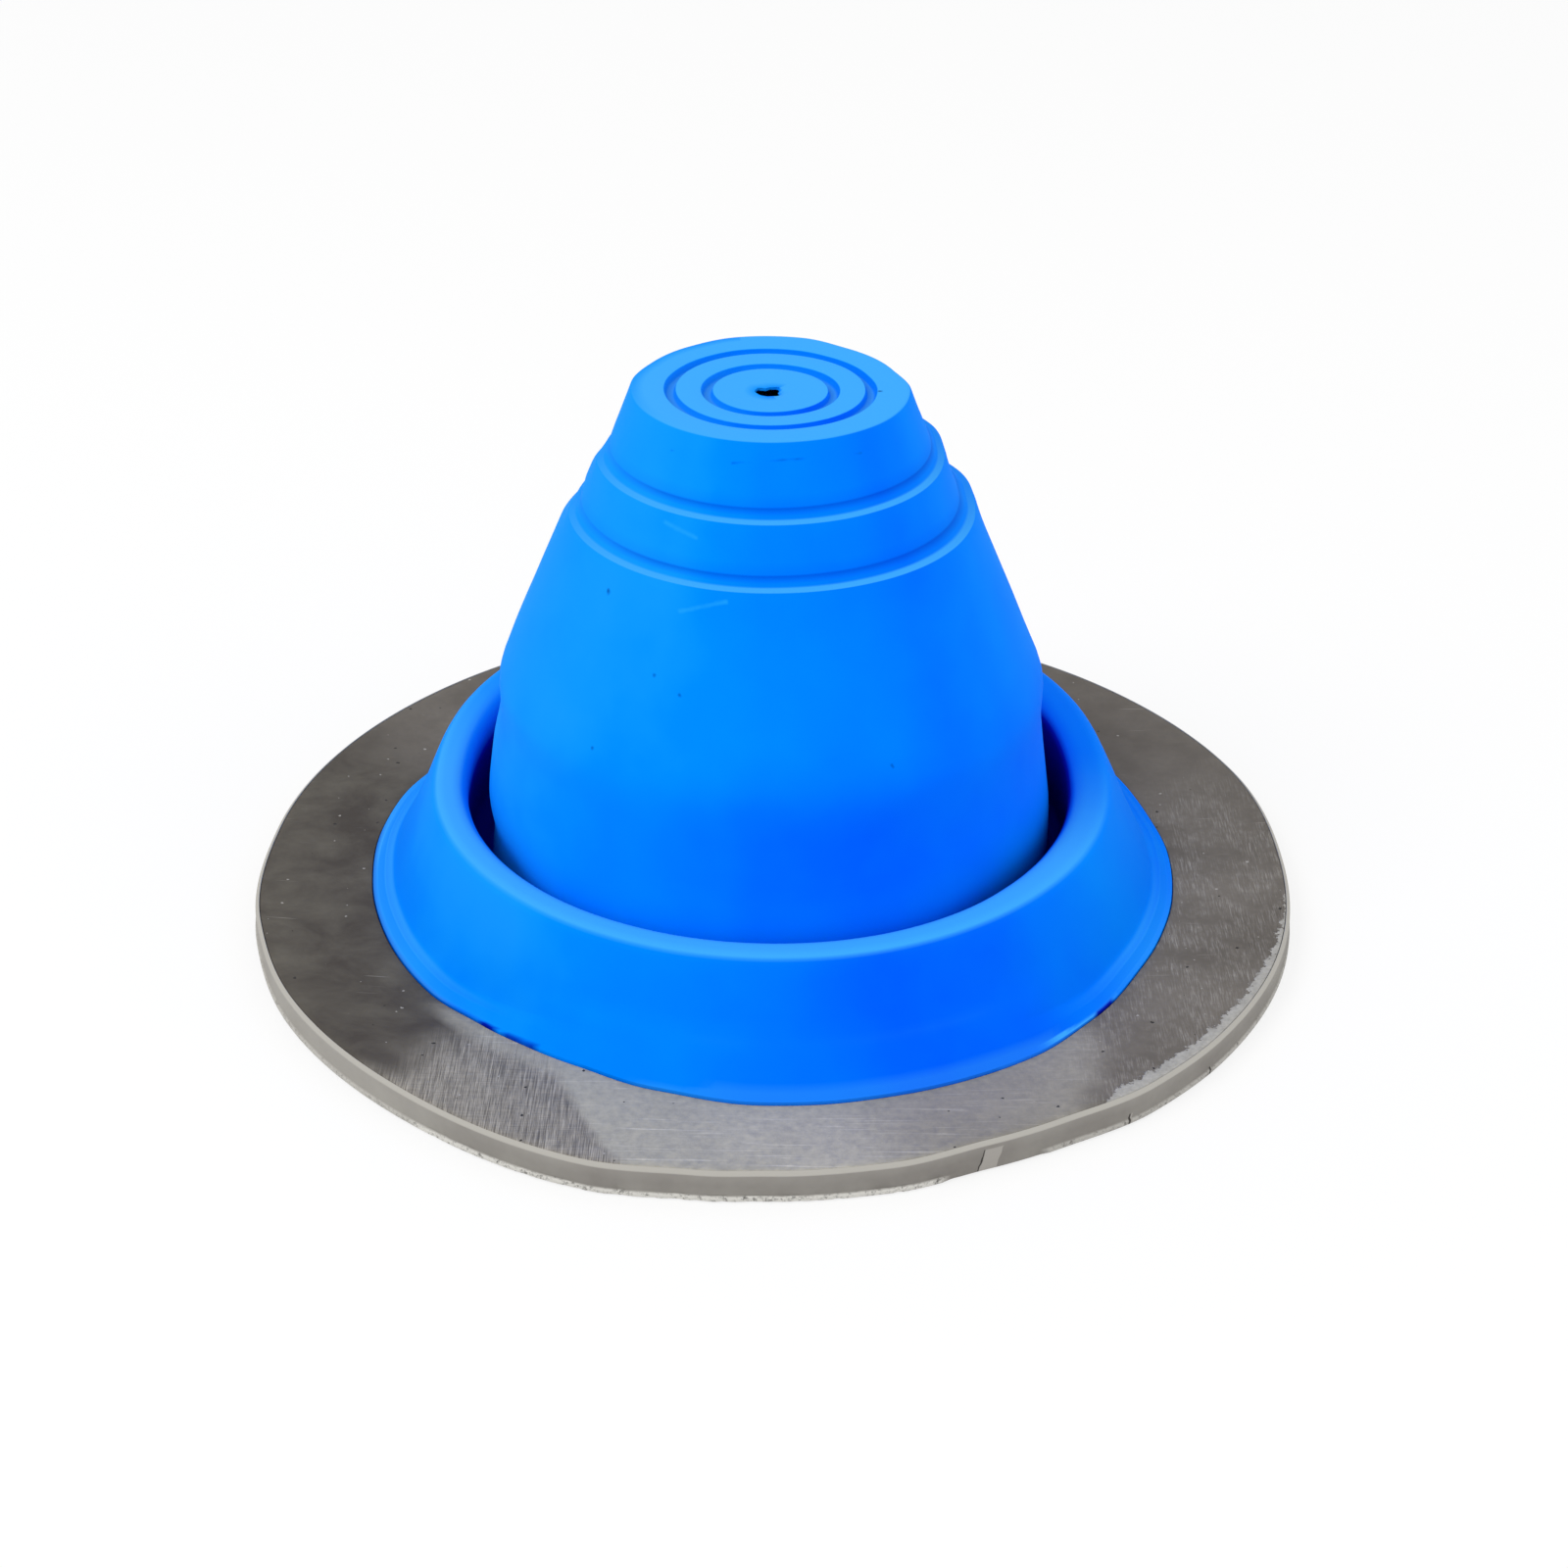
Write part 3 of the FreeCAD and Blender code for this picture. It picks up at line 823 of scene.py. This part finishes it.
def moat_shade(radius, angle, z):
    """Dark in the fold between cone and rim, higher up on the shaded right side."""
    in_fold = smooth(radius, 50.5, 52) * (1 - smooth(radius, 57.2, 58.6))
    if radius > MOAT_MIDDLE:
        rim_shade_top = 21.5 + 4.2 * near_bearing(angle, -8, 24, 20)
        return in_fold * (1 - smooth(z, rim_shade_top - 4.5, rim_shade_top))
    cone_shade_top = 10.5 + 10 * near_bearing(angle, -15, 40, 40)
    return in_fold * (1 - smooth(z, MOAT_FLOOR, cone_shade_top))


def bore_shade(radius, angle):
    """Dark dashes and stretches where the boot meets the ring."""
    at_bore = smooth(radius, RING_BORE - 0.8, RING_BORE - 0.3)
    dashes = max(strength * near_bearing(angle, *stretch)
                 for *stretch, strength in BORE_DASHES)
    for *stretch, strength in BORE_SHADES:
        dashes += strength * near_bearing(angle, *stretch)
    return at_bore * dashes


def mark_plain_boot(bm):
    """Vertex layers read by the silicone, from the plain turned shape: painted light and shade in
    the blue, and painted shade in folds, creases and grooves and where the boot meets the ring."""
    depth = bm.verts.layers.float.new("painted_shading_depth")
    painted_shade = bm.verts.layers.float.new("painted_fold_shade")
    creases = tier_feet()
    for vert in bm.verts:
        x, y, z = vert.co
        radius = math.hypot(x, y)
        angle = bearing(x, y)
        vert[depth] = painted_shading(radius, angle, z)
        # Painted shade in the creases at the tiers' feet, stronger in front
        crease = max(1 - smooth(math.hypot(radius - foot_radius, z - foot_height), 0.1, 0.5)
                     for foot_radius, foot_height in creases)
        crease *= 0.1 + 0.2 * near_bearing(angle, -75, 45, 50)
        groove = 0
        # Painted shade in the grooves of the cap
        if z < BOOT_TOP - GROOVE_SHADE_DEPTH and radius < GROOVES_WITHIN:
            groove = 0.12 * max(1 - smooth(abs(radius - middle), 0.7, 1.1)
                                for middle in GROOVE_RADII)
        vert[painted_shade] = max(moat_shade(radius, angle, z), bore_shade(radius, angle), crease, groove)


def mark_painted_highlight(bm):
    """Vertex layer for the painted highlight on faces that look up, and on the burr along the
    bore in front.
    """
    painted_highlight = bm.verts.layers.float.new("painted_highlight")
    for vert in bm.verts:
        x, y, z = vert.co
        radius = math.hypot(x, y)
        angle = bearing(x, y)
        on_top = z > LEDGES_FROM
        upright = (0.8, 0.93) if on_top else (0.74, 0.88)
        facing_up = smooth(vert.normal.z, *upright)
        on_foot = smooth(radius, 68, 71) * (1 - smooth(radius, 75.8, 76.2))
        front = near_bearing(angle, -88, 40, 30)
        facing_up *= 1 - 0.5 * on_foot - 0.5 * on_foot * front
        behind = smooth(radius, 54, 57) * near_bearing(angle, 75, 65, 45)
        facing_up *= 1 - behind
        if on_top and radius > CAP_RADIUS:
            past_front = 1 - near_bearing(angle, -82, 52, 60)
            facing_up *= 1 - 0.85 * past_front
        # Painted highlight on the burr where the boot meets the ring in front
        at_bore = smooth(radius, RING_BORE - 0.7, RING_BORE - 0.2)
        burr = at_bore * near_bearing(angle, -74, 36, 8)
        vert[painted_highlight] = max(facing_up, 0.25 * burr)


def rubber_boot():
    bm = turned(boot_corners(), BOOT_SPACING, BOOT_STEPS)
    mark_plain_boot(bm)
    for vert in bm.verts:
        vert.co = boot_shift(*vert.co)
    bm.normal_update()
    mark_painted_highlight(bm)
    piece = finished(bm, "silicone_boot", blue_silicone(), "rubber_boot")


# Ring

def mark_ring(bm):
    """Vertex layers read by the aluminium."""
    names = ("painted_reflection", "brushed", "scoured", "tarnish", "spill")
    painted_reflection, brushed, scoured, tarnish, spill = [bm.verts.layers.float.new(n) for n in names]
    edge_x, edge_y = REFLECTION_EDGE
    across_x, across_y = REFLECTION_EDGE_NORMAL
    for vert in bm.verts:
        x, y, z = vert.co
        radius = math.hypot(x, y)
        angle = bearing(x, y)
        wander = 3 * ragged(x, y, z, 9)
        past_edge = (x - edge_x) * across_x + (y - edge_y) * across_y
        before_right = 1 - smooth(x + 0.6 * wander, 50, 60)
        by_bore = near_bearing(angle, -127, 8, 8)
        by_bore *= 1 - smooth(radius + 0.3 * wander, RING_BORE + 2, RING_BORE + 4.5)
        # Painted reflection: a pale stretch across the front, and a fainter one by the bore
        in_front = smooth(past_edge + 0.15 * wander, -0.8, 0.8) * before_right * (y < REFLECTION_BACK)
        vert[painted_reflection] = max(in_front, 0.7 * by_bore)
        vert[painted_reflection] *= 1 - 0.42 * near_bearing(angle, -54, 14, 16)
        vert[brushed] = near_bearing(angle + wander, -112, 16, 8)
        vert[scoured] = near_bearing(angle + wander, -20, 26, 20)
        vert[tarnish] = 0.9 * near_bearing(angle + wander, -168, 27, 22)
        width = round_reading(SPILL, angle)
        vert[spill] = radius - RING_RADIUS + width if width > 0 else NO_SPILL


def aluminium_ring():
    corners = [
        (RING_BORE, ring_under(RING_BORE), 0.1),
        (RING_RADIUS, ring_under(RING_RADIUS), 0.1),
        (RING_RADIUS, ring_over(RING_RADIUS), 0.15),
        (RING_BORE, ring_over(RING_BORE), 0.12),
    ]
    bm = turned(corners, RING_SPACING, RING_STEPS)
    mark_ring(bm)
    for vert in bm.verts:
        x, y, z = trimmed(*vert.co, RING_BORE + 4, RING_RADIUS - 4)
        radius = math.hypot(x, y)
        run = round_reading(FOOT_RUN, bearing(x, y)) * (1 - smooth(radius, *BORE_TO_RING))
        stretch = 1 + run / radius
        vert.co = (x * stretch, y * stretch, z)
    piece = finished(bm, "aluminium_ring", soft_aluminium(), "flange_ring")


# Seal

def seal_corners(side):
    corners = [(SEAL_BORE, 0, 0)]
    for i in range(GROOVE_COUNT):
        start = SEAL_BORE + FIRST_RIB_WIDTH + i * RIB_GROOVE_PITCH
        end = start + RIB_GROOVE_WIDTH
        corners += [(start, 0, 0.1), (start, RIB_GROOVE_DEPTH, 0.4),
                    (end, RIB_GROOVE_DEPTH, 0.4), (end, 0, 0.1)]
    return corners + [
        (FLASH_RADIUS, 0, 0.1),
        (FLASH_RADIUS, FLASH_HEIGHT - 0.35, 0.25),
        (side, FLASH_HEIGHT, 0.15),
        (side, SEAL_TOP - BORDER_BEVEL, 0.3),
        (BORDER_INNER, SEAL_TOP, 0.1),
        (BORDER_INNER, ring_under(BORDER_INNER), 0),
        (SHELF_RADIUS, ring_under(SHELF_RADIUS), 0),
        (SHELF_RADIUS, ring_under(SHELF_RADIUS) - FLANGE_THICKNESS, 0),
        (SEAL_BORE, ring_under(SEAL_BORE) - FLANGE_THICKNESS, 0),
    ]


def rubber_seal():
    side = SEAL_RADIUS - FLASH_REACH
    bm = turned(seal_corners(side), SEAL_SPACING, SEAL_STEPS)
    painted_light = bm.verts.layers.float.new("painted_light")
    flash = bm.verts.layers.float.new("flash")
    for vert in bm.verts:
        x, y, z = vert.co
        radius = math.hypot(x, y)
        angle = bearing(x, y)
        # Painted highlight on the bevel, and painted light on the left side
        on_bevel = smooth(z, SEAL_TOP - 0.95, SEAL_TOP - 0.65)
        vert[painted_light] = max(on_bevel, 0.45 * near_bearing(angle, -168, 30, 25))
        torn_off = near_bearing(angle, -67, 5, 1)
        full = near_bearing(angle, -100, 26, 4)
        low = (1 - smooth(z, FLASH_HEIGHT - 0.3, FLASH_HEIGHT)) * (radius > side - 0.1)
        vert[flash] = low * (1 - torn_off) * max(full, 0.5)
        if RING_BORE < radius < RING_RADIUS - 0.4 and z > ring_under(radius) - 0.5:
            z -= CLEAR_OF_RING
        if radius > side:
            ragged_edge = 0.25 * ragged(x, y, z, 3) * full + 0.3 * full * ragged(x, y, 0, 1.2)
            back = torn_off * (radius - side) + max(0, -ragged_edge)
            x *= 1 - back / radius
            y *= 1 - back / radius
        vert.co = trimmed(x, y, z, FLANGE_RADIUS, RING_RADIUS - 1)
    piece = finished(bm, "rubber_seal", grey_rubber(), "base_seal")


# Setting

def floor():
    """Plain pale studio floor, just under the part."""
    bm = bmesh.new()
    bmesh.ops.create_grid(bm, x_segments=1, y_segments=1, size=FLOOR_SIZE)
    mesh = bpy.data.meshes.new("studio_floor")
    bm.to_mesh(mesh)
    bm.free()
    material, tree, shader = new_material("matt_white_floor", 0.9, 0.1)
    shader.inputs["Base Color"].default_value = linear(FLOOR_WHITE)
    output = tree.nodes["Material Output"]
    ray = node(tree, "LightPath")
    seen = maths(tree, "MULTIPLY", ray.outputs["Is Camera Ray"], 0.75)
    glow = node(tree, "Emission", {"Color": (1, 1, 1, 1), "Strength": 1.0})
    blend = node(tree, "MixShader", {0: seen, 1: shader.outputs[0], 2: glow.outputs[0]})
    tree.links.new(blend.outputs[0], output.inputs["Surface"])
    mesh.materials.append(material)
    piece = bpy.data.objects.new("studio_floor", mesh)
    piece.location = (0, 0, -FLOOR_GAP)
    bpy.context.scene.collection.objects.link(piece)


def lamp(name, place, target, size, power):
    light = bpy.data.lights.new(name, "AREA")
    light.shape = "DISK"
    light.size = size
    light.energy = power
    piece = bpy.data.objects.new(name, light)
    piece.location = place
    aim = Vector(target) - Vector(place)
    piece.rotation_euler = aim.to_track_quat("-Z", "Y").to_euler()
    bpy.context.scene.collection.objects.link(piece)


def studio():
    """A white world, a little dimmer as a light than as it looks, and two soft lamps."""
    world = bpy.data.worlds.new("white_studio")
    bpy.context.scene.world = world
    world.use_nodes = True
    tree = world.node_tree
    tree.nodes.clear()
    ray = node(tree, "LightPath")
    seen = maths(tree, "MAXIMUM", ray.outputs["Is Camera Ray"], ray.outputs["Is Glossy Ray"])
    clear = maths(tree, "MAXIMUM", seen, ray.outputs["Is Transmission Ray"])
    level = spread(tree, clear, to_min=0.82)
    sky = node(tree, "Background", {"Color": (1, 1, 1, 1), "Strength": level})
    output = node(tree, "OutputWorld", {"Surface": sky.outputs[0]})
    output.is_active_output = True
    lamp("key_softbox", (-0.75, -0.45, 0.95), (0, 0, 0.05), 0.7, 5)
    lamp("fill_softbox", (0.85, -0.3, 0.45), (0, 0, 0.05), 0.9, 1.6)


def camera():
    """Looks down on the boot from the front, about half a metre away, turned a hair."""
    lens = bpy.data.cameras.new("front_camera")
    lens.sensor_width = 36
    lens.lens = 64.78
    piece = bpy.data.objects.new("front_camera", lens)
    elevation = math.radians(30.482)
    roll = 0.01258
    distance = 533.91
    aim = Vector((1.545, 0, 21.23))
    right = Vector((1, 0, 0))
    up = Vector((0, math.sin(elevation), math.cos(elevation)))
    back = Vector((0, -math.cos(elevation), math.sin(elevation)))
    turned_right = right * math.cos(roll) + up * math.sin(roll)
    turned_up = up * math.cos(roll) - right * math.sin(roll)
    place = (aim + back * distance) * MM
    axes = Matrix((turned_right, turned_up, back)).transposed().to_4x4()
    piece.matrix_world = Matrix.Translation(place) @ axes
    bpy.context.scene.collection.objects.link(piece)
    bpy.context.scene.camera = piece


rubber_boot()
aluminium_ring()
rubber_seal()
floor()
studio()
camera()

bpy.context.scene.view_settings.view_transform = "Standard"
